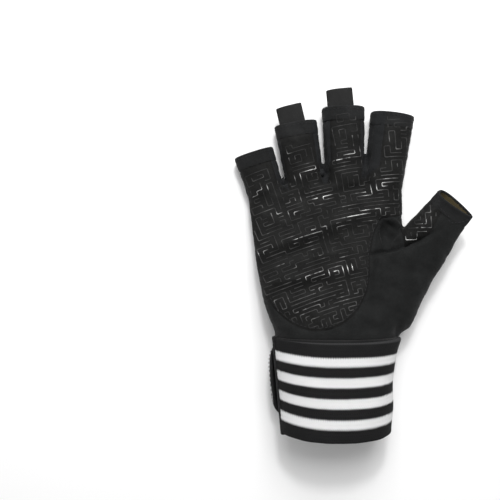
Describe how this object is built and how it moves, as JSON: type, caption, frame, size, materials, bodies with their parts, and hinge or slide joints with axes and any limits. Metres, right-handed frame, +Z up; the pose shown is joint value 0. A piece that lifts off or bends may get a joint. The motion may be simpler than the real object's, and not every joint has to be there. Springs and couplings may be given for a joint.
{
  "type": "weightlifting glove",
  "caption": "Open-fingered right-hand lifting glove with a grip palm, a mesh back with an oval opening, pull tabs and a striped elastic wrist wrap.",
  "frame": {"origin": "centre of the wrist wrap's flat underside, with the glove lying on its back", "axes": "+X to the thumb side, +Y to the fingers, +Z up, out of the palm"},
  "size_m": [0.154, 0.2247, 0.046],
  "materials": {
    "grip_cloth": "synthetic suede with raised silicone lines",
    "smooth_cloth": "matt stretch cloth",
    "mesh_cloth": "open warp-knit mesh over a pale backing",
    "edge_binding": "soft folded stretch binding",
    "olive_lining": "plain olive lining cloth",
    "striped_elastic": "ribbed elastic webbing with black and white stripes",
    "black_webbing": "woven tape",
    "fastener_cloth": "brushed cloth over the hook side of a touch fastener"
  },
  "bodies": {
    "root": {"palm_grip": "grip_cloth", "thumb_panel": "smooth_cloth", "thumb_grip": "grip_cloth", "back_mesh": "mesh_cloth", "side_strip_little_ring": "smooth_cloth", "side_strip_ring_middle": "smooth_cloth", "side_strip_middle_index": "smooth_cloth", "end_band_little": "smooth_cloth", "end_band_ring": "smooth_cloth", "end_band_middle": "smooth_cloth", "end_band_index": "smooth_cloth", "end_band_thumb": "smooth_cloth", "pull_tab_ring": "black_webbing", "pull_tab_middle": "black_webbing", "palm_lining": "olive_lining", "opening_binding": "edge_binding", "wrist_cuff": "black_webbing", "wrap_band": "striped_elastic", "wrap_start_binding": "edge_binding", "wrap_tab": "fastener_cloth"}
  },
  "joints": []
}
